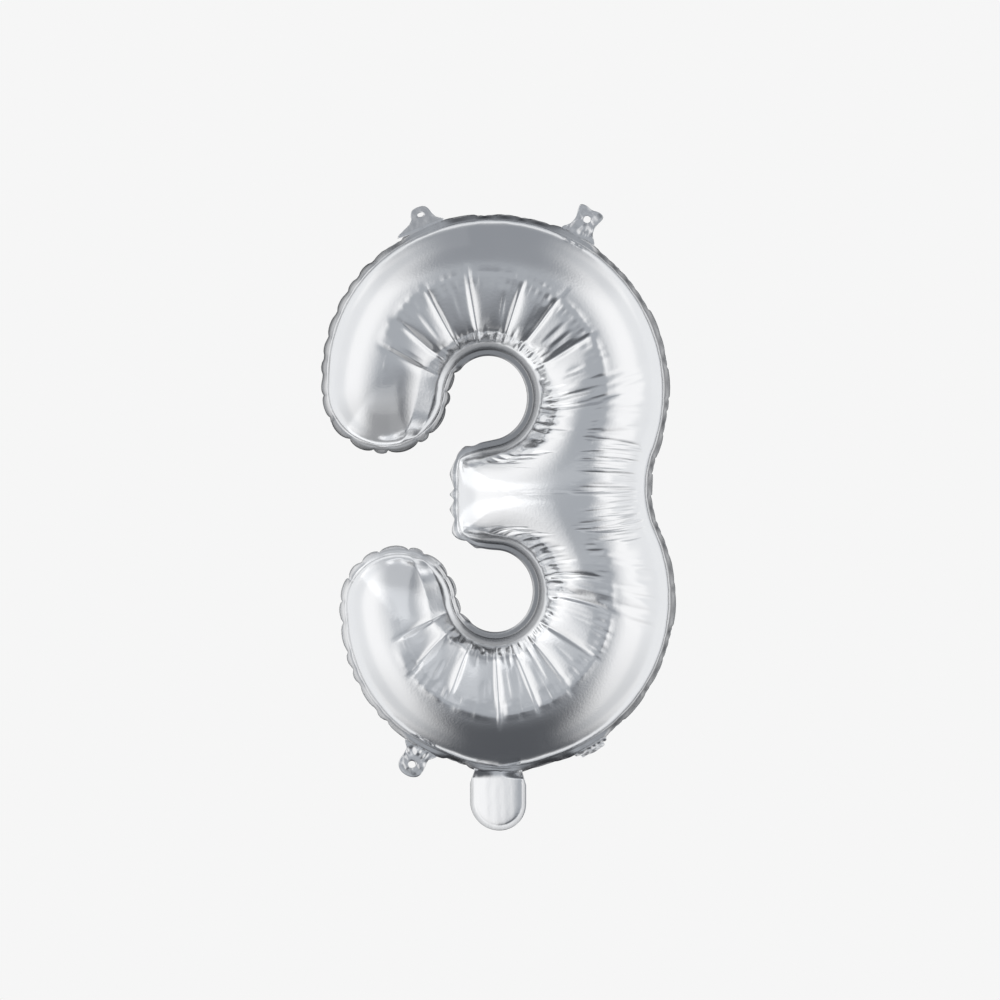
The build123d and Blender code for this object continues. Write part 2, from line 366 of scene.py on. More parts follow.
def end_rows(row, side):
    """Rows that close a round end. With a share f from 1, on the seam, to 0, each is an arc of the end's
    circle, from END_OPEN * f degrees to its mirror image, pressed towards the straight row as f falls."""
    start, stop = row[0], row[-1]
    radius = np.linalg.norm(stop - start) / 2
    across = (stop - start) / (2 * radius)
    out = np.array([across[1], -across[0]]) * side
    f = np.linspace(1, 0, CAP_ROWS, endpoint=False)[:, None]
    first = np.radians(END_OPEN) * f
    angle = first + (np.pi - 2 * first) * np.linspace(0, 1, SAMPLES)
    x = -radius * np.cos(angle)
    y = radius * (np.sin(first) * (1 - f) + f * np.sin(angle))
    return (start + stop) / 2 + x[..., None] * across + y[..., None] * out


outer_in, inner_in = into_film(outer_edge, -1), into_film(inner_edge, 1)
outer_seam, inner_seam = outer_edge + WELD * outer_in, inner_edge + WELD * inner_in
span = np.linalg.norm(inner_seam - outer_seam, axis=1)
middle = np.abs(np.arange(len(span)) - (len(span) - 1) / 2) / (WAIST_ROWS / 2 * 1.15)
in_arm = np.clip(3 * (1 - middle), 0, 1)
outer_handle = span * (HANDLE + OUTER_MORE * in_arm)
inner_handle = HANDLE * span * (1 - in_arm) + INNER_STRAIGHT * in_arm
t = ((1 - np.cos(np.pi * np.linspace(0, 1, SAMPLES))) / 2)[None, :, None]
outer_pull = outer_seam + outer_handle[:, None] * outer_in
inner_pull = inner_seam + inner_handle[:, None] * inner_in
rows = ((1 - t) ** 3 * outer_seam[:, None] + 3 * (1 - t) ** 2 * t * outer_pull[:, None]
        + 3 * (1 - t) * t ** 2 * inner_pull[:, None] + t ** 3 * inner_seam[:, None])
rows = np.concatenate([end_rows(rows[0], 1), rows, end_rows(rows[-1], -1)[::-1]])
ROWS = len(rows)
print(ROWS, "rows across the stroke")

# %% [markdown]
# ## How high the film stands
#
# A sheet that is held at a flat edge and blown up takes nearly the shape of a soap film: its height u obeys
# Poisson's equation, laplacian(u) = -1. A soap film meets its edge at a slant, but a balloon's film leaves
# its seam at right angles and has a round section, and the square root of u does exactly that. So the
# height is sqrt(2 d g), where d is the distance to the seam and g = u / d varies slowly enough to read off
# a coarse grid.

# %% Solve for the height
CELL = 1.5                                         # side of a cell of the coarse grid
PUFF = 0.92                                        # how full the balloon is, against the soap film's height
SOLVER_ROUNDS, PUSH = 450, 1.9                     # a cell moves PUSH times as far as its equation asks
CLEAR_OF_SEAM = 2.2                                # g is read off the cells at least this far in
SPREAD_ROUNDS = 12                                 # and spread outwards over this many cells


def seam_loop(grid):
    """The grid's rim as one closed loop: first column down, last row, last column up, first row back."""
    return np.concatenate([grid[:, 0], grid[-1, 1:], grid[::-1, -1][1:], grid[0, ::-1][1:-1]])


def is_inside(loop, points):
    """True where a ray to the right crosses the loop an odd number of times."""
    odd = np.zeros(len(points), bool)
    for (x1, y1), (x2, y2) in zip(loop, np.roll(loop, -1, 0)):
        if y1 != y2:
            level = (y1 > points[:, 1]) != (y2 > points[:, 1])
            odd[level] ^= points[level, 0] < (x2 - x1) * (points[level, 1] - y1) / (y2 - y1) + x1
    return odd


def to_loop(loop, points, batch=3000):
    """Distance from each point to the nearest run of the loop."""
    run = np.roll(loop, -1, 0) - loop
    size = (run ** 2).sum(1) + 1e-12
    parts = []
    for first in range(0, len(points), batch):
        gap = points[first:first + batch, None] - loop
        share_of_run = np.clip((gap * run).sum(-1) / size, 0, 1)
        parts.append(np.sqrt(((gap - share_of_run[..., None] * run) ** 2).sum(-1).min(1)))
    return np.concatenate(parts)


def neighbours(field):
    """The sum of the four cells next to each cell."""
    total = np.zeros_like(field)
    total[1:-1, 1:-1] = field[:-2, 1:-1] + field[2:, 1:-1] + field[1:-1, :-2] + field[1:-1, 2:]
    return total


loop = seam_loop(rows)
corner = loop.min(0) - 4
cells = np.ceil((loop.max(0) + 4 - corner) / CELL).astype(int)
column, line = np.indices(cells)
centres = corner + CELL * np.stack([column.ravel(), line.ravel()], -1)
film_cell = is_inside(loop[::2], centres)
depth = np.zeros(len(centres))
depth[film_cell] = to_loop(loop[::2], centres[film_cell])
film_cell, depth = film_cell.reshape(cells), depth.reshape(cells)
u = np.where(film_cell, 20 * depth, 0.0)
for _ in range(SOLVER_ROUNDS):
    for colour in (0, 1):
        now = film_cell & ((column + line) % 2 == colour)
        u = np.where(now, u + PUSH * ((neighbours(u) + CELL ** 2) / 4 - u), u)
known = (film_cell & (depth > CLEAR_OF_SEAM)).astype(float)
slow = np.where(known > 0, u / np.maximum(depth, 0.1), 0.0)
for _ in range(SPREAD_ROUNDS):
    count = neighbours(known)
    slow = np.where((known == 0) & (count > 0), neighbours(slow * known) / np.maximum(count, 1), slow)
    known = np.maximum(known, count > 0)


def read(field, points):
    """The field at any point, straight between the four cells round it."""
    place = (points - corner) / CELL
    cell = np.clip(place.astype(int), 0, np.array(field.shape) - 2)
    fx, fy = (place - cell)[..., 0], (place - cell)[..., 1]
    i, j = cell[..., 0], cell[..., 1]
    return (field[i, j] * (1 - fx) * (1 - fy) + field[i + 1, j] * fx * (1 - fy)
            + field[i, j + 1] * (1 - fx) * fy + field[i + 1, j + 1] * fx * fy)


print("highest point of the soap film", round(float(u.max())), "; cells", cells.tolist())

# %% [markdown]
# ## Columns at equal lengths of film
#
# The film is bent round the stroke, so columns at equal steps of the flat picture would leave long thin
# faces at the seams. The columns are spread by length along the bent film instead, with more of them on the
# inner half, where the creases are.

# %% Spread the columns
COLUMNS, OUTER_COLUMNS, OUTER_SHARE = 78, 26, 0.44     # 26 of the 78 lie on the outer 44 % of the film

rough = PUFF * np.sqrt(np.maximum(2 * read(slow, rows) * read(depth, rows), 0))
rough[:, [0, -1]] = 0
sheet_rows = np.concatenate([rows, rough[..., None]], -1)
runs = np.linalg.norm(np.diff(sheet_rows, axis=1), axis=-1)
reach = np.concatenate([np.zeros((ROWS, 1)), np.cumsum(runs, 1)], 1)
wanted = np.r_[np.linspace(0, OUTER_SHARE, OUTER_COLUMNS, endpoint=False),
               np.linspace(OUTER_SHARE, 1, COLUMNS - OUTER_COLUMNS)]
flat = np.stack([[np.interp(wanted * length[-1], length, row[:, k]) for length, row in zip(reach, rows)]
                 for k in (0, 1)], -1)
to_seam = to_loop(loop, flat.reshape(-1, 2)).reshape(flat.shape[:2])
height = PUFF * np.sqrt(2 * to_seam * read(slow, flat))
height[[0, -1]] = 0
height[:, [0, -1]] = 0
smooth_film = np.stack([flat[..., 0], -height, flat[..., 1]], -1)
print("the film stands", round(float(height.max()), 1), "mm high;", smooth_film.shape[:2], "points")

# %% [markdown]
# ## Creases
#
# Bent round a bowl, the film has more length than it needs between the tight ring at the counter and the
# crest of the stroke. The spare length goes into creases: a few long ones that cut the inner half into
# pillows, fans of short folds between them, a frill of tiny ones along the crest, and crinkles beside the
# tight ring. A comb of deeper ones stands round the arm's root, and wrinkles run across the waist. Each
# fold is an offset along the film's normal, and is described by the row it lies on and by q, the distance
# from a seam as a share of the way to the crest.

# %% Measure the film along and across
WIDEST_HALF = 60.0                                 # in the arm the crest is taken to be no further in

outwards = unit(np.cross(np.gradient(smooth_film, axis=0), np.gradient(smooth_film, axis=1)))
if outwards[ROWS // 2, COLUMNS // 2, 1] > 0:
    outwards = -outwards
length_along = np.concatenate([np.zeros((1, COLUMNS)),
                               np.cumsum(np.linalg.norm(np.diff(smooth_film, axis=0), axis=-1), 0)])
from_outer = np.concatenate([np.zeros((ROWS, 1)),
                             np.cumsum(np.linalg.norm(np.diff(smooth_film, axis=1), axis=-1), 1)], 1)
from_inner = from_outer[:, -1:] - from_outer
half_way = np.minimum(from_outer[:, -1:] / 2, WIDEST_HALF)
q_inner, q_outer = from_inner / half_way, from_outer / half_way
print("half of the stroke, mm of film:", round(float(half_way.min())), "to", round(float(half_way.max())))


# %% Fold shapes
FOLD_ROWS = 26                                     # a fold is worked out on this many rows at each side
PILLOW_TOP = 2.4                                   # no pillow rises higher than this


def bump_between(value, low, high, power):
    """0 outside low to high and 1 half way, as half a sine wave raised to a power."""
    return np.sin(np.pi * np.clip((value - low) / (high - low), 0, 1)) ** power


def fold(field, q, row, low, high, width, depth, lean=0.0, skew=0.0):
    """Adds one fold to the field: a sharp valley depth * exp(-|x| / width), where x is the distance along
    the stroke. It runs from q = low to high, narrow at both ends. skew lifts one side, so the fold catches
    light."""
    first, last = max(int(row) - FOLD_ROWS, 0), min(int(row) + FOLD_ROWS + 1, ROWS)
    part = slice(first, last)
    shape = bump_between(q[part], low, high, 0.8)
    centre = row + lean * (q[part] - (low + high) / 2)
    whole = np.clip(centre.astype(int), 0, ROWS - 2)
    columns = np.arange(COLUMNS)[None]
    here, next_row = length_along[whole, columns], length_along[whole + 1, columns]
    at = here + (centre - whole) * (next_row - here)
    x = (length_along[part] - at) / (width * (0.35 + 0.65 * shape))
    field[part] += depth * shape * np.exp(-np.abs(x)) * (-1 + skew * x)


def pillows(field, q, creases, low, high, swell):
    """Fills each gap between two long creases with a bulge, 1 - |2 s - 1| ** 1.7 for s from 0 to 1 across
    it."""
    rise = bump_between(q, low, high, 0.6)
    for first, last in zip(creases[:-1], creases[1:]):
        part = slice(int(first), int(last) + 1)
        gap = length_along[int(last)] - length_along[int(first)]
        s = (length_along[part] - length_along[int(first)]) / gap
        bulge = 1 - np.abs(2 * np.clip(s, 0, 1) - 1) ** 1.7
        field[part] += np.minimum(swell * gap, PILLOW_TOP) * bulge * rise[part]


UPPER_LONG = [158, 143, 122, 101, 74, 54, 29, -2, -11]     # degrees round the upper counter
LOWER_LONG = [17, -2.5, -32, -52, -71, -90, -116, -141, -158]
upper_rows = CAP_ROWS + np.interp(-np.array(UPPER_LONG), -upper_hole_angle, np.arange(BOWL_ROWS))
lower_first = CAP_ROWS + BOWL_ROWS + WAIST_ROWS - 2
lower_rows = lower_first + np.interp(-np.array(LOWER_LONG), -lower_hole_angle, np.arange(BOWL_ROWS))
waist_row = (upper_rows[-1] + lower_rows[0]) / 2
print("long creases on rows", np.round([*upper_rows, *lower_rows]).astype(int).tolist())


# %% Crease one film
row_number = np.arange(ROWS, dtype=float)
from_upper_end = np.clip((row_number - CAP_ROWS - 14) / 26, 0, 1)
from_lower_end = np.clip((ROWS - CAP_ROWS - 14 - row_number) / 26, 0, 1)
in_upper = from_upper_end * np.clip((upper_rows[-1] + 4 - row_number) / 34, 0, 1)
in_lower = np.clip((row_number - lower_rows[0] + 4) / 34, 0, 1) * from_lower_end
pleated = (in_upper + in_lower)[:, None]
TIP_X = -17                                        # the arm's tip lies left of this and stays smooth
inner_x = np.r_[np.zeros(CAP_ROWS), inner_edge[:, 0], np.zeros(CAP_ROWS)]
on_tip = (inner_x < TIP_X) & (np.abs(row_number - ROWS / 2) < WAIST_ROWS / 2)
off_tip = np.convolve(1.0 - on_tip, np.ones(9) / 9, "same")[:, None]
RING, BAND = 0.33, 0.52                            # where the tight ring and its crinkled band end
EDGE = 1.12                                        # the pleated part ends here, just past the crest


def cone(q, low, high, depth):
    """Flattens the film between low and high into a cone: -4 depth s (1 - s). That leaves an edge at each
    end."""
    s = np.clip((q - low) / (high - low), 0, 1)
    return -4 * depth * s * (1 - s)


def creased(seed):
    """The field of offsets, in millimetres, of one film."""
    random = np.random.default_rng(seed)
    side = lambda: random.choice([-0.8, 0.8])
    field = cone(q_inner, BAND, EDGE, 3.8) * pleated
    field += cone(q_inner, RING, 0.6, 0.8) * (1 - pleated) * off_tip
    for creases in (upper_rows, lower_rows):
        pillows(field, q_inner, creases, BAND, EDGE + 0.05, 0.055)
    for row in [*upper_rows, *lower_rows]:
        fold(field, q_inner, row, RING, random.uniform(1.16, 1.32), 1.25, random.uniform(1.3, 1.9),
             random.uniform(-2, 2), side())
    fold(field, q_outer, waist_row, 0.3, 1.25, 1.5, 1.6, 0, 0.8)
    for first, last in [*zip(upper_rows[:-1], upper_rows[1:]), *zip(lower_rows[:-1], lower_rows[1:])]:
        if last - first > 8:                                            # a fan between two long creases
            fan_low, fan_high = random.uniform(0.6, 0.76), random.uniform(0.94, 1.08)
            fan_from, fan_to = sorted(random.uniform(first + 2, last - 1, 2))
            for row in np.arange(fan_from, fan_to, random.uniform(2.6, 3.4)):
                fold(field, q_inner, row + random.uniform(-0.8, 0.8), fan_low + random.uniform(-0.06, 0.06),
                     fan_high + random.uniform(-0.05, 0.05), 0.9, random.uniform(0.2, 0.75),
                     random.uniform(-3, 3), side())
    bowl_rows = np.r_[CAP_ROWS + 22:CAP_ROWS + BOWL_ROWS, lower_first:lower_first + BOWL_ROWS - 22]
    for row in bowl_rows[::3]:                                          # the frill along the crest
        fold(field, q_inner, row + random.uniform(-1, 1), 0.97, random.uniform(1.13, 1.22), 0.8,
             random.uniform(0.3, 0.8), 0, side())
    for row in np.arange(CAP_ROWS + 20, ROWS - CAP_ROWS - 20, 3.6):     # crinkles by the tight ring
        if on_tip[int(row)]:
            continue
        low = random.uniform(RING, RING + 0.08)
        fold(field, q_inner, row + random.uniform(-1.5, 1.5), low, low + random.uniform(0.1, 0.3), 0.8,
             random.uniform(0.2, 0.65), random.uniform(-9, 9), side())
    arm_first, arm_last = CAP_ROWS + BOWL_ROWS - 38, lower_first + 38
    for row in np.arange(arm_first, arm_last, 2.6):                     # the comb round the arm's root
        if on_tip[int(row)]:
            continue
        low = random.uniform(RING, RING + 0.06)
        fold(field, q_inner, row + random.uniform(-1, 1), low, low + random.uniform(0.25, 0.5), 1.0,
             random.uniform(0.5, 1.3), random.uniform(-3, 3), side())
    for row in np.arange(upper_rows[-3] + 22, lower_rows[1] + 4, 3.0):  # wrinkles across the waist
        low = random.uniform(0.28, 0.5)
        fold(field, q_outer, row + random.uniform(-1, 1), low, low + random.uniform(0.35, 0.75), 1.2,
             random.uniform(0.6, 1.35), random.uniform(-4, 4), side())
    return field


# %% [markdown]
# ## The welded border
#
# Outside the seam the two films are welded flat to each other. The seam has to shorten when the balloon
# fills, so the border buckles: into round lobes at the free ends, like a pie crust, into points on the end
# of the arm, and into small flat facets along the outside. Round the counters it is pulled tight and stays
# smooth, and where a tab or the tail joins it, it stays flat. The border is a strip along the seam, a few
# rings wide.

# %% Shape the border
RINGS = np.array([1.1, 2.7, WELD])                 # how far each ring of points is from the seam
OUTER_END, INNER_END, ARM_HALF = 58, 50, 42        # rows of a free end on both edges, and half of the arm's
TAB_FREE, TAIL_FREE = 11, 20                       # mm from a root: flat border, and parted border
rim = seam_loop(smooth_film)[:, [0, 2]]
RIM = len(rim)
rim_length = along(np.vstack([rim, rim[:1]]))
run = np.roll(rim, -1, 0) - np.roll(rim, 1, 0)
rim_out = unit(np.stack([-run[:, 1], run[:, 0]], -1))
for _ in range(4):
    rim_out = unit(np.roll(rim_out, 1, 0) + 2 * rim_out + np.roll(rim_out, -1, 0))
if is_inside(rim, rim[:1] + rim_out[:1])[0]:
    rim_out = -rim_out


def on_rim(start_row, stop_row, side):
    """A smooth 0 to 1 mask on the loop for a range of rows of the outer (0) or the inner (1) edge."""
    index = np.arange(RIM)
    row = index if side == 0 else 2 * ROWS + COLUMNS - 3 - index
    inside = (row >= start_row) & (row <= stop_row)
    start = 0 if side == 0 else ROWS + COLUMNS - 2
    inside &= (index >= start) & (index < start + ROWS)
    mask = inside.astype(float)
    for _ in range(12):
        mask = (np.roll(mask, 1) + mask + np.roll(mask, -1)) / 3
    return mask


caps = np.zeros(RIM)
caps[ROWS:ROWS + COLUMNS] = 1
caps[2 * ROWS + COLUMNS - 3:] = 1
upper_end = on_rim(0, OUTER_END, 0), on_rim(0, INNER_END, 1)
lower_end = on_rim(ROWS - OUTER_END, ROWS, 0), on_rim(ROWS - INNER_END, ROWS, 1)
free_end = np.clip(caps + upper_end[0] + lower_end[0] + upper_end[1] + lower_end[1], 0, 1)
arm_point = on_rim(ROWS // 2 - ARM_HALF, ROWS // 2 + ARM_HALF, 1)
tab_folds = [joint for joint in frame["joints"] if joint["name"].endswith("tab_fold")]
tab_roots = np.array([joint["pos_m"] for joint in tab_folds])[:, [0, 2]] / MM
tail_fold = next(joint for joint in frame["joints"] if joint["name"] == "tail_fold")
tail_x, _, tail_z = np.array(tail_fold["pos_m"]) / MM
roots = np.vstack([tab_roots, [tail_x, tail_z]])
to_root = np.linalg.norm(rim[:, None] - roots, axis=-1).min(1)
flat_there = np.clip((to_root - TAB_FREE) / 7, 0, 1)              # 0 by a root, where the border stays flat
from_tail = np.abs(rim[:, 0] - tail_x) + 100 * (rim[:, 1] > tail_z + 12)
PARTED = 0.9                                       # the border's films part by this much round the tail
parted = PARTED * np.clip((TAIL_FREE - from_tail) / 4, 0, 1)
outside = np.clip(on_rim(40, ROWS - 40, 0) - free_end, 0, 1)


def scallops(seed, spacing, jitter):
    """Lobes along the loop, spacing mm long: for each point the share s from 0 to 1 through its lobe and
    the lobe's number, and for each lobe its size."""
    random = np.random.default_rng(seed)
    count = int(rim_length[-1] / spacing)
    knots = (np.arange(count) + random.uniform(-jitter, jitter, count)) * rim_length[-1] / count
    knots = np.r_[knots[-1] - rim_length[-1], knots, knots[0] + rim_length[-1]]
    number = np.searchsorted(knots, rim_length[:-1], side="right") - 1
    s = (rim_length[:-1] - knots[number]) / (knots[number + 1] - knots[number])
    return s, number % count, random.uniform(0.4, 1.0, count)


def border(seed):
    """Rings of points outside the seam, and how dark each is painted. They are the same for both films,
    which are welded to each other there. A lobe is sqrt(sin(pi s)) wide, a point is 1 - |2 s - 1|."""
    s, number, size = scallops(seed, 13.5, 0.3)
    s2, number2, size2 = scallops(seed + 1, 13.0, 0.3)
    dome = np.sqrt(np.clip(np.sin(np.pi * s), 0, 1))
    point = 1 - np.abs(2 * s2 - 1)
    width = (1 + free_end * (0.3 * size[number] - 0.75 * (1 - dome))
             + arm_point * (0.15 - 0.7 * (1 - point))
             + outside * (0.25 - 0.6 * (1 - point) * size2[number2]))
    width = (1 + (width - 1) * flat_there) * (1 - 0.45 * np.clip(1 - from_tail / 9, 0, 1))
    tilt = (free_end * (0.3 + 0.6 * dome) * size[number] + outside * (0.3 + 0.9 * point * size2[number2])
            + arm_point * 0.5 * (point - 0.5)) * flat_there
    share = (RINGS / WELD)[:, None]
    reach_out = RINGS[:, None] * width * np.cos(0.8 * tilt * share)
    back = RINGS[:, None] * width * np.sin(np.clip(tilt, -1, 1.2)) * share
    place = rim[None] + rim_out[None] * reach_out[..., None]
    low_end = lower_end[0] + lower_end[1] + caps * (np.arange(RIM) < ROWS + COLUMNS)
    facets = outside * (0.6 + 0.4 * point * size2[number2])
    # painted shade: the border is painted darker on the outer rings of the free ends' lobes, on the points
    # of the facets along the outside and round the arm's end, less at the lower end and by the tab and tail
    # roots, over the welded band's own duller look
    tone = (free_end * (0.1 + 0.9 * share) * (1 - 0.55 * low_end) + facets
            + arm_point * 0.45 * share + 0.5 * (1 - free_end - outside - arm_point))
    tone = tone * (0.35 + 0.65 * flat_there)
    return np.stack([place[..., 0], back, place[..., 1]], -1), np.clip(tone, 0, 1)


weld_rings, border_weld_and_painted_shade = border(5)
# painted shade: inside the tight ring round each counter the film is painted dark, darkest next to the
# counter
ring_rows = (from_upper_end * from_lower_end)[:, None]
ring_shade_depth = 0.66 + 0.16 * np.clip(1 - q_inner / 0.16, 0, 1)       # painted shade of the tight ring, darker next to the counter
ring_painted_shade = ring_rows * off_tip * ring_shade_depth * np.clip((RING - q_inner) / 0.04, 0, 1)
print("the border is a strip of", weld_rings.shape[:2], "points,", round(rim_length[-1]), "mm round")

# %% [markdown]
# ## The two films
#
# One grid and its border make one film. The back film is the front one mirrored, with its own creases. A
# Solidify modifier gives each its thickness, inwards, so that the outside stays where it was worked out.

# %% Build the films
FILM = 0.12                                        # thickness of the foil as modelled
PLY = 0.13                                         # each film's outside is this far from the seam's plane


def grid_faces(row_count, column_count):
    """Quads between neighbouring rows and columns."""
    first = (np.arange(row_count - 1)[:, None] * column_count + np.arange(column_count - 1)).ravel()
    return np.stack([first, first + 1, first + column_count + 1, first + column_count], -1)


def strip_faces(rings):
    """Quads between closed rings, each ring a row of point numbers."""
    return np.concatenate([np.stack([a, b, np.roll(b, -1), np.roll(a, -1)], -1)
                           for a, b in zip(rings[:-1], rings[1:])])


def smooth_shade(obj):
    """Shades the faces as one curved surface."""
    obj.data.polygons.foreach_set("use_smooth", np.ones(len(obj.data.polygons), bool))
    return obj


def thicken(obj):
    """Gives a film its thickness, inwards."""
    wall = obj.modifiers.new("thickness", "SOLIDIFY")
    wall.thickness = FILM * MM
    wall.offset = -1
    return obj


def store_weld_and_painted_shade(obj, values):
    """Stores at each point how rough and how dark the foil is, from 0 for plain film to 1: rougher on welded
    film, and painted shade on the border, round the tight rings and along the tail's edge.
    """
    layer = obj.data.attributes.new("weld_and_painted_shade", "FLOAT", "POINT")
    layer.data.foreach_set("value", np.asarray(values, np.float32))


def film_piece(name, side, seed):
    """One film: side is -1 for the front and +1 for the back."""
    points = smooth_film + outwards * creased(seed)[..., None] - [0, PLY, 0]
    body = points.reshape(-1, 3) * np.array([1, -side, 1])
    strip = (weld_rings + (side * (PLY + parted))[:, None] * [0, 1, 0]).reshape(-1, 3)
    numbers = seam_loop(np.arange(ROWS * COLUMNS).reshape(ROWS, COLUMNS))
    ring_numbers = [numbers, *(ROWS * COLUMNS + RIM * k + np.arange(RIM) for k in range(len(RINGS)))]
    faces = np.concatenate([grid_faces(ROWS, COLUMNS), strip_faces(ring_numbers)[:, ::-1]])
    obj = mesh_object(name, np.vstack([body, strip]), faces if side > 0 else faces[:, ::-1])
    store_weld_and_painted_shade(obj, np.r_[ring_painted_shade.ravel(), border_weld_and_painted_shade.ravel()])
    return smooth_shade(thicken(obj))


front = film_piece("front_foil", -1, 11)
back = film_piece("back_foil", 1, 23)
ARM_FACE = ROWS // 2 * (COLUMNS - 1) + 30
for obj, side in ((front, -1), (back, 1)):
    print(obj.name, len(obj.data.polygons), "faces; faces outwards:",
          obj.data.polygons[ARM_FACE].normal.y * side > 0)

# %% [markdown]
# ## The foil
#
# The film is plastic with a coat of aluminium: a mirror that is never quite even. It gets a faint
# cloudiness in its roughness, a very fine ripple, and on the welded band the dull, close pattern that the
# hot tool leaves. Its colour is also painted dark where the stored attribute is high: painted shade on the
# border, round the tight rings and along the tail's edge, on top of the welded band's duller look.

# %% Make the foil
CLOUDS, RIPPLES, SEAL_CELLS = 60.0, 700.0, 900.0    # per metre: about 17, 1.4 and 1.1 mm


def bump(tree, height, strength, distance, under=None):
    """A Bump node, over an earlier one if under is its normal."""
    node = tree.nodes.new("ShaderNodeBump")
    node.inputs["Strength"].default_value = strength
    node.inputs["Distance"].default_value = distance
    tree.links.new(height, node.inputs["Height"])
    if under is not None:
        tree.links.new(under, node.inputs["Normal"])
    return node.outputs["Normal"]


def noise(tree, where, scale, detail):
    """A Noise Texture's value."""
    node = tree.nodes.new("ShaderNodeTexNoise")
    node.inputs["Scale"].default_value = scale
    node.inputs["Detail"].default_value = detail
    tree.links.new(where, node.inputs["Vector"])
    return node.outputs["Fac"]


def foil_material(name):
    """Metallised film: a metal that is rougher where its stored attribute is high, and painted darker there,
    as painted shade and as the welded band's duller look.
    """
    material = bpy.data.materials.new(name)
    material.use_nodes = True
    tree = material.node_tree
    shader = tree.nodes["Principled BSDF"]
    where = tree.nodes.new("ShaderNodeTexCoord").outputs["Object"]
    weld_and_painted_shade = tree.nodes.new("ShaderNodeAttribute")
    weld_and_painted_shade.attribute_name = "weld_and_painted_shade"
    cloud = noise(tree, where, CLOUDS, 2.0)
    ripple = noise(tree, where, RIPPLES, 2.0)
    seal = tree.nodes.new("ShaderNodeTexVoronoi")
    seal.inputs["Scale"].default_value = SEAL_CELLS
    tree.links.new(where, seal.inputs["Vector"])
    rough = math_node(tree, "MULTIPLY_ADD", cloud, 0.08, 0.13)
    rough = math_node(tree, "MULTIPLY_ADD", weld_and_painted_shade.outputs["Fac"], 0.12, rough)
    tree.links.new(rough, shader.inputs["Roughness"])
    colour = mix_colour(tree, cloud, (0.90, 0.905, 0.915, 1), (0.94, 0.945, 0.95, 1))
    # painted shade: where the stored attribute is high the foil's colour goes towards near black, for the
    # welded band's duller look and for painted shade on the border, round the tight rings and along the
    # tail's edge
    dark_weld_and_painted_shade = math_node(tree, "MULTIPLY", weld_and_painted_shade.outputs["Fac"], 0.93)
    colour = mix_colour(tree, dark_weld_and_painted_shade, colour, (0.06, 0.063, 0.07, 1))
    tree.links.new(colour, shader.inputs["Base Color"])
    shader.inputs["Metallic"].default_value = 1.0
    seal_height = math_node(tree, "MULTIPLY", seal.outputs["Distance"], weld_and_painted_shade.outputs["Fac"])
    normal = bump(tree, ripple, 0.12, 0.0004)
    normal = bump(tree, seal_height, 0.2, 0.0003, normal)
    tree.links.new(normal, shader.inputs["Normal"])
    return material


silver = foil_material("silver_foil_film")
for obj in (front, back):
    obj.data.materials.append(silver)
print("foil has", len(silver.node_tree.nodes), "nodes")

# %% [markdown]
# ## The filling tail
#
# The tail is a tongue of the same two films. It was never blown up, so it is nearly flat, a little full in
# the middle, and welded along its edge. It hangs by its root and has turned slightly to one side, which is
# why it catches the light as one calm surface. Its root lies behind the border of the body.

# %% Make the tail
tail_low, tail_high = (np.array(corner_point) / MM for corner_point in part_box("tail_front_film"))
TAIL_TURN = np.tan(np.radians(20))                 # how far the tongue has turned, as a slope
TAIL_WELD, TAIL_FULL = 3.4, 1.3                    # its weld's width, and how far it bulges on each side
TAIL_ROOT = 2.0                                    # how far the tongue reaches up behind the border


def tongue(half_width, end_radius, start_z, rows_straight, rows_round, columns):
    """A flat strip with a round end: x is half_width * u along the straight part, a little less at the root.
    On the end, the square of u and v becomes a disc by x = r u sqrt(1 - v^2 / 2) and
    z = -r v sqrt(1 - u^2 / 2)."""
    u = np.linspace(-1, 1, columns)[None]
    end_z = tail_low[2] + end_radius
    z = np.linspace(start_z, end_z, rows_straight, endpoint=False)[:, None]
    narrow = 1 - 0.14 * np.clip((z - (tail_z - 8)) / 8, 0, 1)
    straight = np.stack([half_width * u * narrow, z + 0 * u], -1)
    v = np.linspace(0, 1, rows_round)[:, None]
    end = np.stack([end_radius * u * np.sqrt(1 - v ** 2 / 2),
                    end_z - end_radius * v * np.sqrt(1 - u ** 2 / 2)], -1)
    return np.concatenate([straight, end])


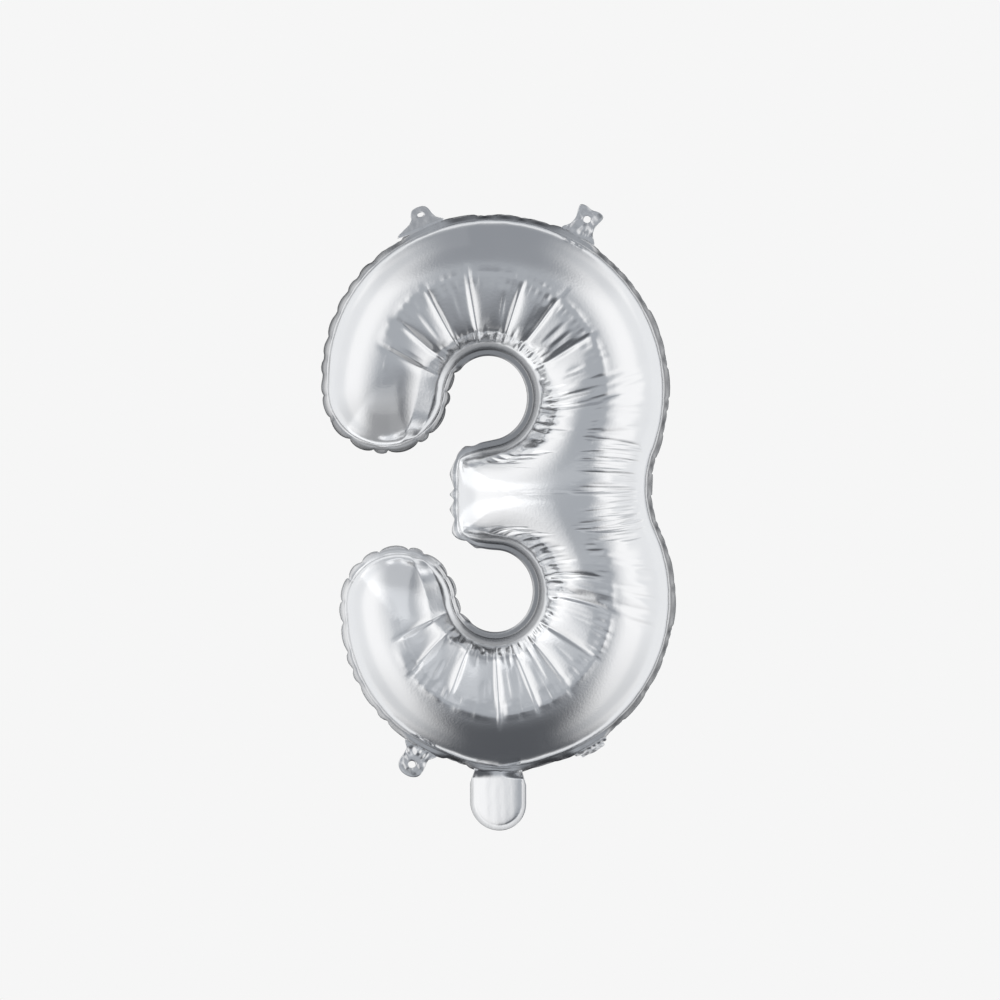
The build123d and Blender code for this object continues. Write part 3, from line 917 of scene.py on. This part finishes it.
def tail_sheet(name, half_width, start_z, side, gap, full, material):
    """One film of the tail, or of the inlet inside it, gap mm from the middle plane and bulged by
    full * sqrt(s (2 - s)), with s from 0 at the weld to 1 on the middle line."""
    radius = min(half_width, (tail_high[0] - tail_low[0]) / 2)
    flat_shape = tongue(half_width, radius, start_z, 40, 36, 48)
    x, z = flat_shape[..., 0], flat_shape[..., 1]
    end_z = tail_low[2] + radius
    edge = np.where(z > end_z, half_width - np.abs(x), radius - np.hypot(x, z - end_z))
    s = np.clip((edge - TAIL_WELD) / (radius - TAIL_WELD), 0, 1)
    hung = np.clip((tail_z + 1 - z) / 6, 0, 1)
    hung = hung * hung * (3 - 2 * hung)
    swell = gap + full * np.sqrt(s * (2 - s)) * (0.6 + 0.4 * hung)
    random = np.random.default_rng(3)
    crumple = 0.0
    for _ in range(5):                                     # soft dents down the tongue
        angle, size = random.uniform(-0.5, 0.5), random.uniform(5, 11)
        phase = (x * np.cos(angle) + z * np.sin(angle)) / size * 2 * np.pi
        crumple = crumple + 0.012 * np.sin(phase + random.uniform(0, 6))
    y = side * swell - x * TAIL_TURN * hung + crumple * np.clip(edge / 4, 0.2, 1)
    points = np.stack([x + tail_x, y, z], -1)
    faces = grid_faces(*x.shape)
    obj = mesh_object(name, points.reshape(-1, 3), faces[:, ::-1] if side > 0 else faces)
    # painted shade: the tongue's film is painted darker within 2.6 mm of its edge, the shade of its puffed
    # rim over its welded edge; the clear inlet gets none
    dark_weld_and_painted_shade = np.clip(0.45 * (1 - edge / 2.6), 0, 0.45) if material is silver else 0 * x
    store_weld_and_painted_shade(obj, dark_weld_and_painted_shade.ravel())
    obj.data.materials.append(material)
    return smooth_shade(thicken(obj))


tail_half = (tail_high[0] - tail_low[0]) / 2
tail_front = tail_sheet("tail_front_foil", tail_half, tail_z + TAIL_ROOT, -1, PLY, TAIL_FULL, silver)
tail_back = tail_sheet("tail_back_foil", tail_half, tail_z + TAIL_ROOT, 1, PLY, TAIL_FULL, silver)
for obj, node in ((tail_front, "tail_front_film"), (tail_back, "tail_back_film")):
    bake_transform(obj)
    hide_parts(node)
print("tail is", round(2 * tail_half, 1), "mm wide")

# %% [markdown]
# ## The tabs
#
# Each tab is a small ear of both films outside the border, with a punched hole to hang the digit by.
# Handling creases them. A tab is worked out flat, as rings between its hole and its outline, then crumpled,
# and bent back along the fold line that the CAD model gives it.

# %% Make the tabs
TAB_RINGS, TAB_ROUND = 12, 96                      # rings from the hole out, and points on each
HOLE_RADIUS, HOLE_HEIGHT = 2.2, 10.8               # the hole's size, and how far it is from the fold
TAB_ROOT = 1.8                                     # how far the tab reaches over the border
TAB_GAP = 0.03                                     # air between the tab's film and the border's
TAB_DULL, TAB_BANDS = 0.03, 0.16                   # how dull the tab is, and how much duller its bands
TABS = {                                           # degrees bent back, how creased, shape and sweep
    "top_right_tab": (0.0, 1.0, "flared", 0.0),
    "top_left_tab": (43.0, 0.1, "pointed", 0.5),
    "bottom_left_tab": (0.0, 0.9, "round", 0.0),
    "bottom_right_tab": (75.0, 0.8, "round", 0.0),
}
HALF_SHAPES = {                                    # the right half: along the fold, then outwards
    "flared": [(0, -TAB_ROOT), (11.5, -TAB_ROOT), (12.0, -0.6), (8.0, 3), (6.6, 8), (8.2, 14), (8.6, 17.6),
               (4, 18.4), (0, 17.2)],
    "pointed": [(0, -TAB_ROOT), (13.0, -TAB_ROOT), (12.5, -0.5), (8.6, 2.5), (6.8, 8), (6.2, 13),
                (4.4, 17.4), (0, 18.6)],
    "round": [(0, -TAB_ROOT), (11.5, -TAB_ROOT), (11.5, -0.5), (7.6, 2.5), (7.8, 7), (8.4, 12.5), (6.4, 17),
              (0, 18.8)],
}


def tab_flat(shape, sweep):
    """Rings between the punched hole and the outline, as points along the fold and outwards. sweep widens
    the root to one side."""
    half = np.array(HALF_SHAPES[shape], float)
    outline = evenly(rounded(np.vstack([half, half[-2::-1] * [-1, 1]]), 3), TAB_ROUND + 1)[:-1]
    turn = np.linspace(-np.pi / 2, 1.5 * np.pi, TAB_ROUND, endpoint=False)
    hole = np.stack([HOLE_RADIUS * np.cos(turn), HOLE_HEIGHT + HOLE_RADIUS * np.sin(turn)], -1)
    share = np.linspace(0, 1, TAB_RINGS)[:, None, None]
    outline[:, 0] += sweep * np.maximum(outline[:, 0], 0) * np.clip(1 - outline[:, 1] / 9, 0, 1)
    return hole + share * (outline - hole)


def triangle_wave(value):
    """Straight slopes between -1 and 1, once every unit."""
    return 2 * np.abs(2 * (value - np.floor(value + 0.5))) - 1


def crumpled(flat, amount, seed):
    """Creases of a handled tab: straight-sided waves in several directions, and pleats across its root."""
    random = np.random.default_rng(seed)
    along_fold, outwards_from = flat[..., 0], flat[..., 1]
    height = 0.0 * along_fold
    for _ in range(6):
        angle, size = random.uniform(0, np.pi), random.uniform(5, 13)
        height += random.uniform(0.12, 0.34) * triangle_wave(
            (along_fold * np.cos(angle) + outwards_from * np.sin(angle)) / size + random.uniform(0, 1))
    bent = along_fold / 4.3 + 0.3 + 0.3 * np.sin(along_fold / 2.9 + seed) + 0.05 * outwards_from
    pleats = 0.5 * triangle_wave(bent) * np.exp(-((outwards_from - 1.5) / 3.6) ** 2)
    return amount * (height + pleats) * np.clip((outwards_from + TAB_ROOT) / 4, 0, 1)


def tab_sheet(body, side, seed):
    """One film of a tab, in place, with the points where its bend starts and ends."""
    bend, creasing, shape, sweep = TABS[body]
    joint = next(joint for joint in tab_folds if joint["name"] == body + "_fold")
    fold_at = np.array(joint["pos_m"]) / MM
    tangent = np.array(joint["axis"])
    outward = np.cross([0, 1, 0], tangent)
    flat = tab_flat(shape, sweep)
    height = crumpled(flat, creasing, seed) + side * (PLY + FILM + TAB_GAP)
    bend = np.radians(bend)
    beyond = np.maximum(flat[..., 1], 0)[..., None]
    before = np.minimum(flat[..., 1], 0)[..., None]
    backwards = np.array([0, 1, 0])
    tip_way = np.cos(bend) * outward + np.sin(bend) * backwards
    face_way = np.where(flat[..., 1:] > 0, -np.sin(bend) * outward + np.cos(bend) * backwards, backwards)
    points = (fold_at + flat[..., :1] * tangent + before * outward + beyond * tip_way
              + height[..., None] * face_way)
    ring = np.arange(TAB_RINGS * TAB_ROUND).reshape(TAB_RINGS, TAB_ROUND)
    faces = strip_faces(list(ring))
    obj = mesh_object(f"{body}_{'front' if side < 0 else 'back'}_foil", points.reshape(-1, 3),
                      faces if side > 0 else faces[:, ::-1])
    edge = np.linspace(0, 1, TAB_RINGS)[:, None] + 0 * flat[..., 0]
    store_weld_and_painted_shade(obj, (TAB_DULL + TAB_BANDS * np.abs(triangle_wave(edge)) * creasing).ravel())
    obj.data.materials.append(silver)
    middle_way = outward + tip_way
    return smooth_shade(thicken(obj)), fold_at - 1.0 * outward, fold_at + 1.0 * middle_way


tab_pieces = []
for seed, body in enumerate(TABS):
    for side in (-1, 1):
        obj, start, end = tab_sheet(body, side, 40 + seed)
        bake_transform(obj)
        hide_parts(f"{body}_{'front' if side < 0 else 'back'}_film")
        tab_pieces.append(obj)
print(len(tab_pieces), "tab films")

# %% [markdown]
# ## The valve
#
# Two soft clear films, glued to the foil at the neck, lie on each other inside the balloon. Air pushed
# between them gets in, and the pressure inside then presses them shut. They are out of sight, but they are
# why the balloon holds its air, so they are here, in clear film with the faint haze of polythene.

# %% Make the clear film and the inlet
def clear_material(name):
    """Clear polythene: mostly seen through, with a faint uneven haze."""
    material = bpy.data.materials.new(name)
    material.use_nodes = True
    tree = material.node_tree
    shader = tree.nodes["Principled BSDF"]
    where = tree.nodes.new("ShaderNodeTexCoord").outputs["Object"]
    haze = noise(tree, where, 180.0, 3.0)
    tree.links.new(math_node(tree, "MULTIPLY_ADD", haze, 0.2, 0.12), shader.inputs["Roughness"])
    colour = mix_colour(tree, haze, (0.80, 0.84, 0.87, 1), (0.90, 0.92, 0.94, 1))
    tree.links.new(colour, shader.inputs["Base Color"])
    tree.links.new(bump(tree, noise(tree, where, 420.0, 2.0), 0.15, 0.0003), shader.inputs["Normal"])
    shader.inputs["Alpha"].default_value = 0.45
    return material


clear = clear_material("clear_valve_film_finish")
inlet_low, inlet_high = (np.array(corner_point) / MM for corner_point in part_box("valve_inlet_front_film"))
inlet_half = (inlet_high[0] - inlet_low[0]) / 2
INLET_IN, INLET_DROP = 2.0, 2.0                    # in from each side, and down from the fold
INLET_GAP, INLET_FULL = 0.02, 0.35
for side, word in ((-1, "front"), (1, "back")):
    obj = tail_sheet(f"valve_inlet_{word}_sheet", inlet_half - INLET_IN, tail_z - INLET_DROP, side,
                     INLET_GAP, INLET_FULL, clear)
    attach(obj, "filling_tail")
    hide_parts(f"valve_inlet_{word}_film")
    valve = frame["nodes"][f"valve_{word}_film"]
    valve.data.materials.clear()
    valve.data.materials.append(clear)
print("the inlet is", round(2 * inlet_half, 1), "mm wide")

# %% Join the films to the frame
for obj, panel in ((front, "front_panel"), (back, "back_panel")):
    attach(obj, "envelope")
    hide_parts(panel)

# %% [markdown]
# ## What was cut flat
#
# Every piece here began as a flat sheet. A film's flat area is what its curved face measures, because foil
# doesn't stretch: it only bends and creases. Each film's and tab's area is worked out, no larger than a
# share of the sheet it was cut from, and the front film's is printed.

def face_area(obj):
    """Area of the piece's faces before it has its thickness, in square metres."""
    areas = np.empty(len(obj.data.polygons))
    obj.data.polygons.foreach_get("area", areas)
    return float(areas.sum())


FILM_FLAT = (0.266, 0.394)                         # the digit's outline as it is cut, before it is blown up
TAB_FLAT = (0.023, 0.0232)
for obj in (front, back):
    film_area = min(face_area(obj), 0.95 * FILM_FLAT[0] * FILM_FLAT[1])
for obj in tab_pieces:
    tab_area = min(face_area(obj), 0.98 * TAB_FLAT[0] * TAB_FLAT[1])
print("film area, square centimetres:", round(face_area(front) * 1e4, 1))
